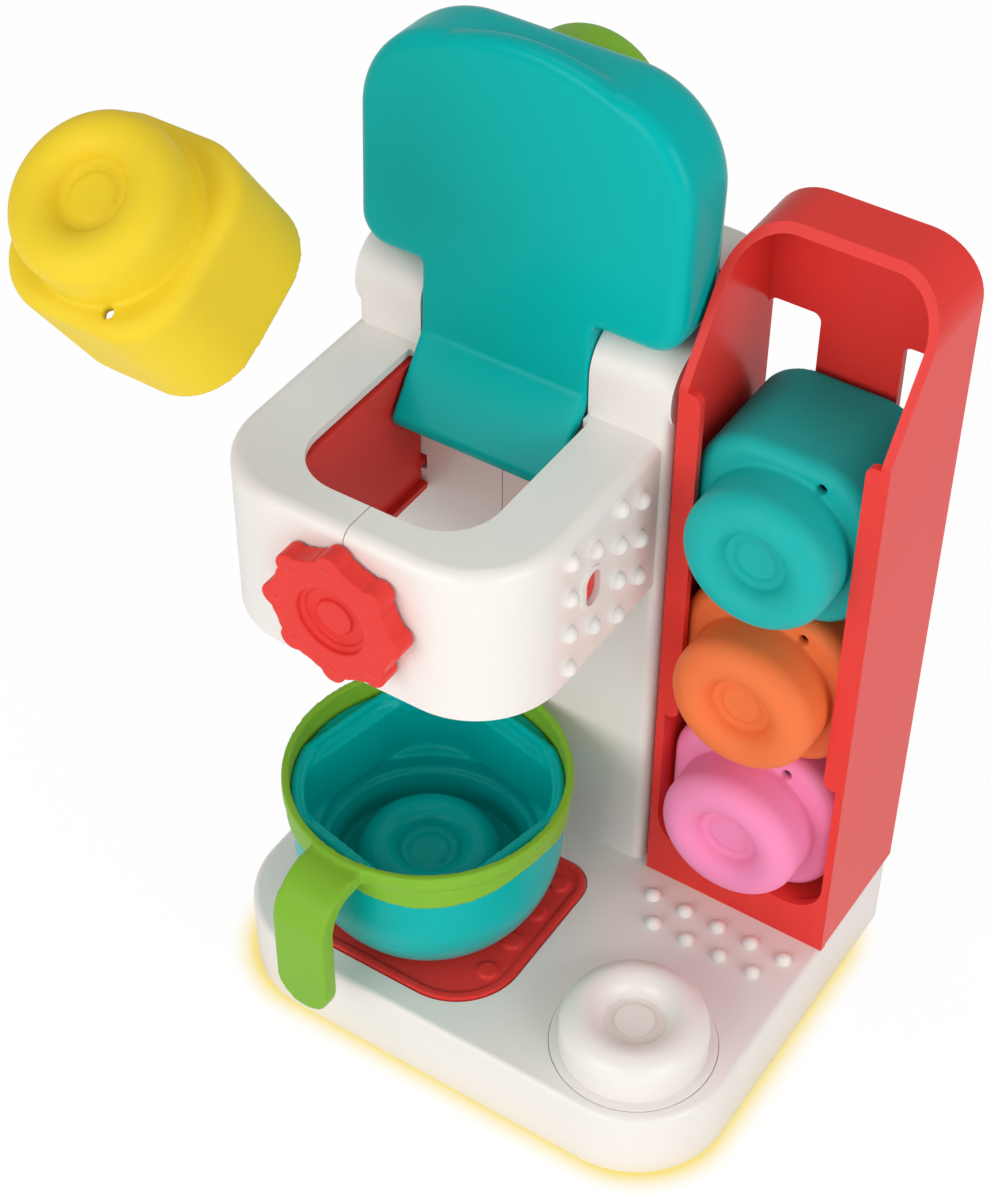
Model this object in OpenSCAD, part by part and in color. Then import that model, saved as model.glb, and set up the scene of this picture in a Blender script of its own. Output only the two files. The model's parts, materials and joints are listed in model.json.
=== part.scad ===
// Toy coffee maker for babies: a base with a brewing head, a tilting lid, a star knob
// that opens two jaws inside the head, a cup, and a dispenser of soft stacking blocks.
// Millimetres. +X to the right, +Y to the back, +Z up; the origin is under the middle
// of the base, on the surface that the toy stands on.

/* [Base] */
// Width of the base, left to right
base_w = 137.6; // [130:0.2:150]
// Depth of the base, front to back
base_d = 114; // [106:0.5:124]
// Height of the base
base_h = 21.2; // [18:0.2:26]
// Wall thickness of the base shell
base_wall = 2.4; // [1.8:0.1:3.2]
// Plan radius of the two front corners
front_r = 26; // [16:1:32]
// Plan radius of the two back corners
back_r = 6; // [4:1:14]
// Rounding of the top edge of the base
base_edge = 1.6; // [0.8:0.1:2.4]
// Thickness of the bottom plate
plate_t = 2.2; // [1.6:0.1:3]

/* [Drip tray] */
// Left to right position of the cup's axis
cup_x = -26.3; // [-30:0.1:-24]
// Front to back position of the cup's axis
cup_y = -19.8; // [-22:0.1:-16]
// Width of the red tray
tray_w = 67.2; // [62:0.2:69]
// Depth of the red tray
tray_d = 56.8; // [52:0.2:60]
// Plan radius of the tray's two front corners
tray_r = 18; // [10:0.5:22]
// Plan radius of the tray's two back corners
tray_back_r = 8; // [5:0.5:14]
// Thickness of the tray
tray_t = 1.8; // [1.4:0.1:2.2]

/* [Stacking stud] */
// Radius of the ring stud on the base, in the cup and on the blocks
stud_r = 18.6; // [16:0.1:19]
// Height of the ring stud
stud_h = 12; // [9:0.5:13]
// Radius of the ring stud's round section
ring_r = 5.6; // [4:0.1:6.5]
// Left to right position of the base stud
stud_x = 43.4; // [36:0.5:46]
// Front to back position of the base stud
stud_y = -33.2; // [-36:0.2:-28]

/* [Housing] */
// Left to right position of the head's middle, where the two halves meet
seam_x = -29; // [-31:0.1:-27]
// Wall thickness of the housing
wall = 2.2; // [1.8:0.1:2.6]
// Width of the brewing head
head_w = 84.8; // [82:0.2:88]
// Distance from the column's front face to the head's front face
head_reach = 63.6; // [60:0.2:68]
// Height of the head's underside above the table
head_z0 = 119.8; // [112:0.2:126]
// Height of the head
head_h = 43.6; // [41:0.2:48]
// Plan radius of the head's front corners
head_r = 23; // [16:0.5:26]
// Rounding of the head's top edge
head_edge = 3.4; // [1.6:0.1:4]
// Front face of the column, measured from the base's middle
col_y0 = 17.5; // [15:0.1:20]
// Depth of the column
col_d = 39.1; // [37:0.1:39.3]
// Distance from the seam to the column's right side
col_right = 44.2; // [42:0.1:45.2]
// Distance from the seam to the column's left side
col_left = 39.8; // [38:0.1:39.8]
// Radius of the column's upright corners
col_r = 3; // [2.6:0.1:4]

/* [Filling opening] */
// Width of the opening in the head's top
open_w = 49.4; // [47.6:0.2:51]
// Distance from the head's front face to the opening
open_rim = 10.5; // [9:0.5:13]
// Plan radius of the opening's front corners
open_r = 14; // [8:0.5:20]

/* [Lid] */
// Radius of the hinge knuckles, about the hinge axis
ear_r = 10.4; // [9:0.1:11.4]
// Gap between the lid and what it moves past
lid_gap = 0.4; // [0.3:0.05:0.7]
// Width of the lid
lid_w = 85.8; // [80:0.2:86]
// Length of the lid from its lower edge to its free end
lid_len = 60; // [56:0.5:62]
// Thickness of the lid, face to face
lid_t = 23.8; // [20:0.2:26]
// Plan radius of the lid's free corners
lid_r = 24.5; // [16:0.5:28]
// Wall thickness of the lid
lid_wall = 2.2; // [1.6:0.1:2.8]
// Rounding of the lid's outer edge
lid_edge = 10.5; // [4:0.5:11]
// Width of the tongue that hangs between the knuckles
tongue_w = 45.2; // [40:0.2:46]
// Radius of the hinge pin
pin_r = 2; // [1.5:0.1:2.5]

/* [Knob and jaws] */
// Radius of the star knob over its lobes
knob_r = 18.8; // [16:0.1:20]
// Depth of the knob in front of the head
knob_t = 5.6; // [4.6:0.1:9]
// Radius of the knob's shaft
shaft_r = 4; // [3:0.1:5]
// Distance from the shaft's axis to each drive pin
drive_r = 4.1; // [3.7:0.05:4.4]
// Radius of the drive pins
drive_pin_r = 1.5; // [1.2:0.1:1.8]
// Clear width between the jaws' lips when they hold a block
jaw_open = 43.2; // [42.8:0.1:44]
// Width of each jaw's lip
jaw_lip = 1.8; // [1.6:0.1:2]
// Thickness of the jaws
jaw_t = 2.2; // [1.8:0.1:2.6]

/* [Cup] */
// Height of the cup's rim above its underside
cup_h = 45; // [40:0.5:52]
// Radius of the cup's foot
foot_r = 27.3; // [24:0.1:29]
// Outer radius of the cup's coloured rim band
rim_r = 36.4; // [34:0.1:38]
// Wall thickness of the bowl and of the band
cup_wall = 2; // [1.6:0.1:2.4]
// Width of the handle strap
grip_w = 15.5; // [11:0.5:18]
// Distance from the cup's axis to the handle's outer face
grip_out = 51.5; // [47:0.5:54]
// Direction of the handle, seen from above, from +X
grip_turn = 266.5; // [225:0.5:300]
// Turn of the square well, seen from above
well_turn = -12; // [-45:1:45]

/* [Dispenser] */
// Width of the dispenser
mag_w = 51.6; // [51:0.1:54]
// Left to right position of the dispenser's middle
mag_x = 43; // [42.8:0.1:43.4]
// Front face of the dispenser
mag_y0 = 17.1; // [15:0.1:18.5]
// Depth of the dispenser
mag_d = 38.6; // [38.2:0.1:39.4]
// Height of its top above the table
mag_top = 216.6; // [205:0.2:228]
// Wall thickness of the dispenser
mag_wall = 2.2; // [1.8:0.1:2.4]
// Radius of the arch's corners
mag_r = 14; // [9:0.5:18]
// Width of the two front flanges
flange_w = 5.6; // [4:0.1:6.4]
// Height of the dispenser's floor above the base
floor_up = 12.2; // [9:0.2:16]

/* [Blocks] */
// Side of a soft block
block_w = 45.6; // [44.8:0.1:45.8]
// Height of a block's body, without its stud
block_h = 31; // [28:0.2:33]
// Radius of a block's corners
block_r = 15; // [10:0.5:17]
// Height of a block's stud
block_stud_h = 14.4; // [11:0.2:15.5]
// Wall thickness of a block
block_wall = 2.4; // [2:0.1:3]
// Rounding of a block's shoulder
block_edge = 3.6; // [1.5:0.1:5]
// Radius of the vent hole
vent_r = 1.3; // [0.9:0.1:1.6]

/* [Hidden] */

$fn = 48;
eps = 0.01;

white = "#f1eeea";
red = "#e5403a";
teal = "#04a5a2";
soft_teal = "#1cb0aa";
green = "#84be3b";
orange = "#f0743c";
pink = "#ee82b6";
yellow = "#ecd232";
steel = "#b9bdc2";
grey = "#8d9196";

// A running clearance for a shaft in its bore, and one for parts that slide past
fit = 0.06;
slip = 0.3;

// Heights and places that several pieces share
base_x0 = -base_w / 2;
base_y0 = -base_d / 2;
deck_z = base_h;
head_z1 = head_z0 + head_h;
head_x0 = seam_x - head_w / 2;
head_y0 = col_y0 - head_reach;
col_x0 = seam_x - col_left;
ear_x0 = head_x0 + 0.8;
col_x1 = seam_x + col_right;
col_y1 = col_y0 + col_d;
hinge_y = col_y0 + ear_r;
lid_face = ear_r + 0.3;
hinge_z = head_z1 + lid_gap + lid_face;
ear_top = hinge_z + ear_r;
lid_lean = 2.5;
rest_y0 = col_y0 + 25.1;
rest_z1 = ear_top + 11.9;
open_x0 = seam_x - open_w / 2;
open_y0 = head_y0 + open_rim;
open_y1 = col_y0 - 2;
notch_w = tongue_w + 2 * lid_gap;
lid_x0 = seam_x + 2.1 - lid_w / 2;
lid_y0 = hinge_y - lid_face;
lid_z0 = ear_top + lid_gap + 0.6;
lid_z1 = lid_z0 + lid_len;
lid_y1 = lid_y0 + lid_t;
lid_cx = lid_x0 + lid_w / 2;
lid_ext = 26;

// Knob, jaws and their guide
knob_z = head_z0 + head_h / 2;
knob_turn = 45;
jaw_travel = drive_r * sin(knob_turn);
jaw_mid = (jaw_travel + jaw_t) / 2;
frame_y = open_y0 - slip;
frame_t = 1.6;
arm_y1 = frame_y - frame_t - slip;
arm_t = 2.2;
arm_y0 = arm_y1 - arm_t;
disc_y0 = head_y0 + wall + slip;
disc_y1 = arm_y0 - slip;
disc_r = drive_r + drive_pin_r + 2;
jaw_z0 = head_z0 + 0.4;
jaw_z1 = head_z1 - wall - 1;
jaw_y1 = col_y0 - 0.5;
slot_z = head_z0 + 8;
window_y = -11.2;
window_z = head_z0 + 22.3;

// Screws: a 2.2 mm body, a 4.4 mm head and the boss that takes it
screw_r = 1.1;
screw_head = 2.2;
boss_r = 3.2;
boss_in = screw_r + 0.05;

// Base fixings, as [x, y]
plate_bosses = [[-58, -16], [16, -46], [60, -2], [-58, 46], [20.5, 47], [61.5, 48.5]];
column_bosses = [[-58, 30], [-40, 46], [4, 30], [-14, 46]];
magazine_bosses = [[mag_x - 14, 30], [mag_x + 14, 42]];
foot_points = [[-50, -36], [46, -42], [-60, 38], [58, 20]];

// Column fixings across the seam, as [y, z]
seam_bosses = [[40, 40], [40, 84], [47, 128]];

// Dispenser and its blocks
mag_x0 = mag_x - mag_w / 2;
mag_x1 = mag_x + mag_w / 2;
mag_y1 = mag_y0 + mag_d;
mag_floor = deck_z + floor_up;
flange_t = 2;
pitch = block_w + 0.4;
stack_z = mag_floor + slip + block_w / 2;
rail_t = 1.8;
block_back = mag_y1 - mag_wall - rail_t - slip;
flange_z0 = mag_floor + pitch + 0.4;
flange_z1 = mag_floor + 3 * pitch + 9.6;
slope_y1 = mag_y0 + 23.9;
rib_w = 20.6;
window_top = mag_top - 31.6;
window_low = mag_top - 66;

// Cup
cup_z = deck_z + 0.3;
cup_rim_z = cup_z + cup_h;
well_w = 53.2;
well_r = 15;
cup_floor = 6.2;
band_h = 11.8;

// The yellow block is held in the air over the head, tipped towards the front
loose_at = [-66.3, -59.6, 234.4];
loose_turn = [33.5, -1.9, -2.4];

// ---------------------------------------------------------------- shared shapes

// A flat outline with corners of radius r0 on its low side and r1 on its high side
module plan(x0, x1, y0, y1, r0, r1) {
    translate([x0, y0 + r0]) square([x1 - x0, y1 - r1 - y0 - r0]);
    translate([x0 + r0, y0]) square([x1 - x0 - 2 * r0, y1 - r1 - y0]);
    translate([x0 + r1, y0 + r0]) square([x1 - x0 - 2 * r1, y1 - y0 - r0]);
    for (x = [x0 + r0, x1 - r0]) translate([x, y0 + r0]) circle(r0);
    for (x = [x0 + r1, x1 - r1]) translate([x, y1 - r1]) circle(r1);
}

module square_plan(w, r) {
    plan(-w / 2, w / 2, -w / 2, w / 2, r, r);
}

// A slab on z = 0 over such an outline, its top edge rounded by e all the way round
module soft_slab(x0, x1, y0, y1, h, r0, r1, e) {
    linear_extrude(h) plan(x0 + e, x1 - e, y0 + e, y1 - e, r0 - e, r1 - e);
    for (y = [0, 1]) {
        r = y ? r1 : r0;
        cy = y ? y1 - r : y0 + r;
        translate([x0 + r, cy, 0]) rotate(y ? 90 : 180) rim_corner(r, h, e);
        translate([x1 - r, cy, 0]) rotate(y ? 0 : 270) rim_corner(r, h, e);
        translate([x0 + r, y ? y1 : y0, 0]) mirror([0, y ? 0 : 1, 0]) rim_run(x1 - x0 - 2 * r, h, e);
    }
    translate([x0, y0 + r0, 0]) rotate(90) rim_run(y1 - r1 - y0 - r0, h, e);
    translate([x1, y0 + r0, 0]) mirror([1, 0, 0]) rotate(90) rim_run(y1 - r1 - y0 - r0, h, e);
}

// The rounded rim's section: outwards along X, with one millimetre inside the slab
module rim_section(h, e) {
    square([e + 1, h - e]);
    square([1, h]);
    translate([1, h - e]) intersection() {
        circle(e);
        square([e, e]);
    }
}

module rim_corner(r, h, e) {
    rotate_extrude(angle = 90) translate([r - e - 1, 0]) rim_section(h, e);
}

// A straight length of rim along X, with its outer face on y = 0
module rim_run(len, h, e) {
    rotate([90, 0, 90]) linear_extrude(len) translate([-e - 1, 0]) rim_section(h, e);
}

// Rods along X and along Y that start at a point
module rod_x(at, len, r) {
    translate(at) rotate([0, 90, 0]) cylinder(r = r, h = len);
}

module rod_y(at, len, r) {
    translate(at) rotate([-90, 0, 0]) cylinder(r = r, h = len);
}

// A screw with its head's underside on z = 0, pointing up
module screw(len) {
    cylinder(r = screw_r, h = len);
    translate([0, 0, -1.4]) difference() {
        cylinder(r = screw_head, h = 1.4);
        translate([0, 0, -eps]) {
            for (a = [0, 90]) rotate(a) translate([-1.4, -0.3, 0]) cube([2.8, 0.6, 0.8]);
        }
    }
}

// A hollow boss standing up from z = 0
module boss(len) {
    difference() {
        cylinder(r = boss_r, h = len);
        translate([0, 0, -eps]) cylinder(r = boss_in, h = len + 2 * eps);
    }
}

// The ring stud: a fat rounded ring round a sunken disc with a low button. Its foot may
// reach down by `low`.
module stud(h, low = 0) {
    rotate_extrude() {
        translate([stud_r - ring_r, h - ring_r]) circle(ring_r);
        translate([0, -low]) square([stud_r, h - ring_r + low]);
        square([stud_r - ring_r, h - ring_r + 1.2]);
        square([5, h - ring_r + 1.8]);
    }
}

// ---------------------------------------------------------------- base

module base_outline(in = 0) {
    plan(base_x0 + in, -base_x0 - in, base_y0 + in, -base_y0 - in, front_r - in, back_r - in);
}

module tray_outline(in = 0) {
    x = cup_x + 0.9;
    y = cup_y - 1.6;
    plan(x - tray_w / 2 + in, x + tray_w / 2 - in, y - tray_d / 2 + in, y + tray_d / 2 - in,
         tray_r - in, tray_back_r - in);
}

// Two staggered rows of touch dots in front of the dispenser
module deck_dots() {
    for (i = [0:4]) translate([mag_x - 19.2 + 9.6 * i, 9.4, deck_z]) sphere(2.1);
    for (i = [0:3]) translate([mag_x - 14.4 + 9.6 * i, 1.4, deck_z]) sphere(2.1);
}

module base_deck() {
    color(white) difference() {
        union() {
            difference() {
                soft_slab(base_x0, -base_x0, base_y0, -base_y0, base_h, front_r, back_r, base_edge);
                translate([0, 0, -1]) linear_extrude(base_h - base_wall + 1) base_outline(base_wall);
                // pocket of the drip tray, and the shallow seat round the stud
                translate([0, 0, deck_z - tray_t + 0.6]) linear_extrude(5) tray_outline(-0.5);
                translate([stud_x, stud_y, deck_z - 0.8]) cylinder(r = stud_r + 2.5, h = 5);
            }
            deck_dots();
            for (p = plate_bosses)
                translate([p.x, p.y, plate_t]) boss(deck_z - base_wall - plate_t + eps);
        }
        for (p = concat(column_bosses, magazine_bosses))
            translate([p.x, p.y, 0]) cylinder(r = screw_r + 0.2, h = base_h + 5);
        for (a = [0:120:240])
            translate([stud_x, stud_y, 0]) rotate(a) translate([9, 0, 0]) cylinder(r = 2.05, h = base_h + 5);
        for (x = [-1, 1])
            translate([cup_x + x * 20, cup_y, 0]) cylinder(r = 2.05, h = base_h + 5);
    }
}

module base_plate() {
    color(white) difference() {
        linear_extrude(plate_t) base_outline(base_wall + 0.2);
        for (p = plate_bosses) translate([p.x, p.y, -eps]) {
            cylinder(r = screw_r + 0.2, h = 5);
            cylinder(r = screw_head + 0.3, h = 1.5 + 2 * eps);
        }
        for (p = foot_points) translate([p.x, p.y, -eps]) cylinder(r = 5.1, h = 1.2);
    }
}

module base_screws() {
    color(steel) for (p = plate_bosses) translate([p.x, p.y, 1.5]) screw(11);
}

module rubber_feet() {
    color(grey) for (p = foot_points) translate([p.x, p.y, 0]) cylinder(r = 5, h = 1.15);
}

// The red tray: a flat inlay with a raised lip and a run of low round buttons
module drip_tray() {
    z = deck_z - tray_t + 0.6;
    color(red) {
        difference() {
            translate([0, 0, z]) linear_extrude(tray_t) tray_outline();
            translate([0, 0, z + tray_t - 0.6]) linear_extrude(2) tray_outline(2.2);
        }
        for (i = [0:3]) for (s = [-1, 1])
            translate([cup_x + 0.1 + s * (tray_w / 2 - 5.9), cup_y + 18.9 - 11.3 * i, z + tray_t - 0.7])
                cylinder(r = 2.5, h = 0.9);
        for (x = [-1, 1]) translate([cup_x + x * 20, cup_y, z - 4]) cylinder(r = 2, h = 4.2);
    }
}

module stacking_stud() {
    color(white) translate([stud_x, stud_y, deck_z - 0.8]) {
        cylinder(r = stud_r + 2.3, h = 1.2);
        translate([0, 0, 1]) difference() {
            stud(stud_h);
            translate([0, 0, -1]) cylinder(r = stud_r - ring_r, h = stud_h - ring_r - 0.6);
        }
        for (a = [0:120:240]) rotate(a) translate([9, 0, -5]) cylinder(r = 2, h = 5.5);
    }
}

// ---------------------------------------------------------------- housing

// Column, knuckles and head as one closed form, drawn inwards by `in`
module house_form(in = 0) {
    z0 = deck_z - (in > 0 ? 1 : 0);
    translate([0, 0, z0]) linear_extrude(hinge_z - z0)
        plan(col_x0 + in, col_x1 - in, col_y0 + in, col_y1 - in, col_r - in + 0.2, col_r - in + 0.2);
    // the knuckles stand out a little on the left, as wide as the head
    translate([0, 0, head_z0 + 1 + in]) linear_extrude(hinge_z - head_z0 - 1 - in)
        plan(ear_x0 + in, col_x1 - 1 - in, col_y0 + in, col_y1 - in, col_r - in + 0.2, col_r - in + 0.2);
    translate([ear_x0 + in, hinge_y, hinge_z - 1])
        cube([col_x1 - ear_x0 - 2 * in, col_y1 - in - hinge_y, ear_r - in + 1]);
    rod_x([ear_x0 + in, hinge_y, hinge_z], col_x1 - ear_x0 - 2 * in, ear_r - in);
    // the rest that the open lid leans against
    face_front(col_y1 - in) linear_extrude(col_y1 - rest_y0 - 2 * in)
        plan(ear_x0 + in, col_x1 - in, hinge_z - 8, rest_z1 - in, 1, 6.5 - in);
    translate([0, 0, head_z0 - (in > 0 ? 1 : 0)])
        soft_slab(head_x0 + in, head_x0 + head_w - in, head_y0 + in, hinge_y,
                  head_h - in + (in > 0 ? 1 : 0), head_r - in, head_edge + 1.2, head_edge - in * 0.9);
}

// Inner walls of the knuckles, the wall behind the chamber and the wall behind the notch
module house_ribs() {
    inner_x0 = seam_x - notch_w / 2;
    for (x = [inner_x0 - wall, inner_x0 + notch_w]) translate([x, 0, 0]) {
        translate([0, col_y0 + 0.5, head_z1 - 12]) cube([wall, hinge_y - col_y0 - 0.5, hinge_z - head_z1 + 12]);
        translate([0, hinge_y, head_z1 - 12]) cube([wall, col_y1 - hinge_y - 1, ear_top - head_z1 + 12 - 0.5]);
        rod_x([0, hinge_y, hinge_z], wall, ear_r - 0.2);
    }
    translate([col_x0 + 1, col_y0, deck_z]) cube([col_x1 - col_x0 - 2, wall, head_z0 + 19.7 - deck_z]);
    translate([inner_x0 - 1, hinge_y + ear_r + 1.1, hinge_z - 4.9])
        cube([notch_w + 2, wall, ear_r + 4.7]);
    // bearings of the hinge pin in the two knuckles
    rod_x([inner_x0 - 8, hinge_y, hinge_z], 8, pin_r + 2);
    rod_x([inner_x0 + notch_w, hinge_y, hinge_z], 8, pin_r + 2);
    // screw bosses down to the deck and the floor under them
    for (p = column_bosses) translate([p.x, p.y, deck_z]) cylinder(r = boss_r, h = 12);
    translate([col_x0 + 1, col_y0 + 1, deck_z]) cube([col_x1 - col_x0 - 2, col_d - 2, 1.6]);
    // bosses of the guide frame behind the head's front wall
    for (x = guide_points) rod_y([x, head_y0 + 1, guide_z], frame_y - frame_t - head_y0 - 1, boss_r);
}

guide_points = [seam_x - 27, seam_x + 27];
guide_z = head_z1 - wall - 6.4;

module house_cuts() {
    inner_x0 = seam_x - notch_w / 2;
    // filling opening and the notch that the tongue swings through
    translate([0, 0, head_z1 - 12]) linear_extrude(20)
        plan(open_x0, open_x0 + open_w, open_y0, open_y1, open_r, 1);
    translate([inner_x0, open_y1 - 5, head_z0 + 19.7]) cube([notch_w, col_y0 + wall + 5.5 - open_y1, 80]);
    translate([inner_x0, col_y0 - 1, head_z1 - 12]) cube([notch_w, hinge_y + ear_r + 2.1 - col_y0, 80]);
    // pocket for the tongue's tip in the back wall
    translate([inner_x0 - 1, col_y1 - 1 - 5, head_z1 - 24]) cube([notch_w + 2, 5, 22]);
    // knob shaft, pin bore, drop hole
    rod_y([seam_x, head_y0 - 5, knob_z], 12, shaft_r + fit);
    rod_x([inner_x0 - 7, hinge_y, hinge_z], notch_w + 14, pin_r);
    // slots for the jaws' guide pins
    for (s = [-1, 1])
        translate([seam_x + s * (jaw_open / 2 + jaw_lip + jaw_mid), 0, slot_z]) rotate([-90, 0, 0])
            linear_extrude(col_y0 + 8) square([8, 4.6], center = true);
    // oval window in the right side
    translate([head_x0 + head_w - 6, window_y, window_z]) rotate([0, 90, 0])
        linear_extrude(12) oval(2.9, 4.9);
    // screws up from the base, and screws into the guide frame's bosses
    for (p = column_bosses) translate([p.x, p.y, deck_z - 1]) cylinder(r = boss_in, h = 12);
    for (x = guide_points) rod_y([x, head_y0 + wall + 0.8, guide_z], 20, boss_in);
}

// An upright oval in a plane, from two end circles and the strip between them
module oval(rx, rz) {
    for (s = [-1, 1]) translate([s * (rz - rx), 0]) circle(rx);
    square([2 * (rz - rx), 2 * rx], center = true);
}

// Staggered touch dots on the head's right side
module side_dots() {
    x = head_x0 + head_w;
    for (i = [0:2]) for (y = [9.5, -10.3])
        if (!(i == 1 && y < 0)) translate([x, y, head_z0 + 9.6 + 11.6 * i]) sphere(2.3);
    for (i = [0:3]) for (y = [0.4, -20.5]) if (i > 0 || y < 5)
        translate([x, y, head_z0 + 4.4 + 10.8 * i]) sphere(2.3);
}

// A low lip round the oval window
module window_lip() {
    translate([head_x0 + head_w - 0.5, window_y, window_z]) rotate([0, 90, 0])
        linear_extrude(1.1) difference() {
            oval(3.9, 5.9);
            oval(2.9, 4.9);
        }
}

module seam_half(side) {
    x = side < 0 ? -200 : seam_x;
    translate([x, -200, -10]) cube([200 + (side < 0 ? seam_x : 0), 400, 400]);
}

// A seam boss reaches from its own side wall to the seam
module seam_bosses(side) {
    for (p = seam_bosses) {
        x = side > 0 ? seam_x : p.y > head_z0 ? ear_x0 + 1 : col_x0 + 1;
        rod_x([x, p.x, p.y], side < 0 ? seam_x - x : col_x1 - 1 - x, boss_r);
    }
}

module seam_holes(side) {
    for (p = seam_bosses) {
        if (side < 0) rod_x([seam_x - 12, p.x, p.y], 12 + eps, boss_in);
        if (side > 0) rod_x([seam_x - eps, p.x, p.y], 100, screw_r + 0.2);
        if (side > 0) rod_x([seam_x + 8, p.x, p.y], 100, screw_head + 0.3);
    }
}

module housing(side) {
    difference() {
        intersection() {
            union() {
                difference() {
                    house_form();
                    house_form(wall);
                }
                intersection() {
                    house_form();
                    house_ribs();
                }
            }
            seam_half(side);
        }
        house_cuts();
    }
}

module housing_left() {
    color(white) difference() {
        union() {
            housing(-1);
            seam_bosses(-1);
        }
        seam_holes(-1);
    }
}

module housing_right() {
    color(white) difference() {
        union() {
            housing(1);
            seam_bosses(1);
            side_dots();
            window_lip();
        }
        seam_holes(1);
    }
}

module housing_screws() {
    color(steel) for (p = seam_bosses)
        translate([seam_x + 8, p.x, p.y]) rotate([0, -90, 0]) screw(17);
}

module column_screws() {
    color(steel) for (p = column_bosses)
        translate([p.x, p.y, deck_z - base_wall]) screw(11);
}

// ---------------------------------------------------------------- knob and jaws

// The plate that keeps the jaws' arms behind the head's front wall
module guide_frame() {
    neck = jaw_open / 2 + jaw_lip;
    color(white) difference() {
        union() {
            translate([seam_x - 31, frame_y - frame_t, head_z0 + 1.2])
                cube([62, frame_t, head_h - wall - 1.8]);
            // rail under the lower arm
            translate([seam_x - 20, arm_y0, knob_z - 11.8]) cube([40, frame_y - arm_y0 - 0.5, 1.4]);
        }
        for (s = [-1, 1]) translate([seam_x + s * (neck + jaw_mid + 7) - 10.2, frame_y - 5, knob_z - 10.2])
            cube([20.4, 10, 20.2]);
        for (x = guide_points) rod_y([x, frame_y - 5, guide_z], 10, screw_r + 0.2);
        rod_y([seam_x, frame_y - 5, knob_z], 10, 1.6);
    }
}

module guide_screws() {
    color(steel) for (x = guide_points)
        translate([x, frame_y, guide_z]) rotate([90, 0, 0]) screw(6);
}

// One jaw, drawn for the left side and mirrored about the seam for the right one: a cheek
// with a lip behind the guide frame, and a neck and an arm in front of it
module jaw_shape(arm_up) {
    cheek = -jaw_open / 2 - jaw_lip;
    arm_z = arm_up ? knob_z + 0.2 : knob_z - 9.8;
    hole = arm_up ? drive_r : -drive_r;
    back = frame_y + slip;
    difference() {
        union() {
            translate([cheek - jaw_t, back, jaw_z0]) cube([jaw_t, jaw_y1 - back, jaw_z1 - jaw_z0]);
            translate([cheek - 1, back, jaw_z0]) cube([jaw_lip + 1, jaw_y1 - back, 1.8]);
            translate([cheek - jaw_t, arm_y0, knob_z - 9.8]) cube([jaw_t, back + 1 - arm_y0, 19.4]);
            translate([cheek - 1, arm_y0, arm_z]) cube([7 - cheek, arm_t, 9.4]);
            rod_y([cheek - 1.1, jaw_y1 - 1, slot_z], col_y0 + wall + 1 - jaw_y1, 2);
        }
        // slot for the drive pin, and a notch that clears a guide screw's head
        translate([0, 0, knob_z + hole]) cube_slot(arm_y0 - 1, arm_t + 2);
        translate([cheek - jaw_t - 1, back - 1, guide_z - 2.7]) cube([jaw_t + 2, 2.7, 5.4]);
    }
}

module cube_slot(y, len) {
    w = drive_pin_r + 0.25;
    translate([-w, y, -3.4]) cube([2 * w, len, 6.8]);
}

module jaw_left() {
    color(red) translate([seam_x, 0, 0]) jaw_shape(true);
}

// The right jaw also carries the oval flag that moves out into the window as the jaws open
module jaw_right() {
    color(red) {
        translate([seam_x, 0, 0]) mirror([1, 0, 0]) jaw_shape(false);
        reach = head_x0 + head_w - 0.8 - (seam_x + jaw_open / 2 + jaw_lip + 1);
        translate([seam_x + jaw_open / 2 + jaw_lip + 1, window_y, window_z]) rotate([0, 90, 0])
            linear_extrude(reach) oval(2.5, 4.5);
    }
}

// Star knob: eight soft lobes, a sunken ring round a low hub
module knob() {
    color(red) translate([seam_x, head_y0 - 0.6, knob_z]) rotate([90, 0, 0]) difference() {
        union() {
            linear_extrude(knob_t) star_outline();
            for (a = [0:45:315]) rotate(a) translate([knob_r - 4, 0, knob_t - 0.3]) sphere(0.8);
        }
        translate([0, 0, knob_t - 1.6]) cylinder(r = 9.2, h = 10);
        translate([0, 0, knob_t - 2.6]) difference() {
            cylinder(r = 8, h = 10);
            translate([0, 0, -1]) cylinder(r = 4.6, h = 2.4);
        }
        translate([0, 0, -eps]) cylinder(r = shaft_r - 1, h = knob_t - 3.8);
        cylinder(r = boss_in, h = knob_t - 1.9);
    }
}

// Lobes are circles; the bays between them are cut by wider circles
module star_outline() {
    n = 8;
    lobe = 3.3;
    bay = 7.5;
    difference() {
        union() {
            circle(knob_r - 2.2);
            for (i = [0:n - 1]) rotate(i * 360 / n) translate([knob_r - lobe, 0]) circle(lobe);
        }
        for (i = [0:n - 1]) rotate((i + 0.5) * 360 / n) translate([knob_r - 2.6 + bay, 0]) circle(bay);
    }
}

module knob_shaft() {
    color(red) {
        difference() {
            union() {
                rod_y([seam_x, head_y0 - 0.6, knob_z], disc_y0 - head_y0 + 0.7, shaft_r);
                rod_y([seam_x, head_y0 - 2.3, knob_z], 2.5, shaft_r - 1 - fit);
                rod_y([seam_x, disc_y0, knob_z], disc_y1 - disc_y0, disc_r);
            }
            rod_y([seam_x, head_y0 - 10, knob_z], 30, screw_r + 0.1);
            rod_y([seam_x, disc_y1 - 1.6, knob_z], 5, screw_head + 0.2);
        }
        for (s = [-1, 1]) rod_y([seam_x, disc_y1 - 1, knob_z + s * drive_r], arm_t + 1.2, drive_pin_r);
    }
}

module knob_screw() {
    color(steel) translate([seam_x, disc_y1 - 1.6, knob_z]) rotate([90, 0, 0]) screw(8.2);
}

// ---------------------------------------------------------------- lid (stands open)

// Turns a shape drawn on z = 0 so that its top looks forwards, from y down to y - h
module face_front(y) {
    translate([0, y, 0]) rotate([90, 0, 0]) children();
}

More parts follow.
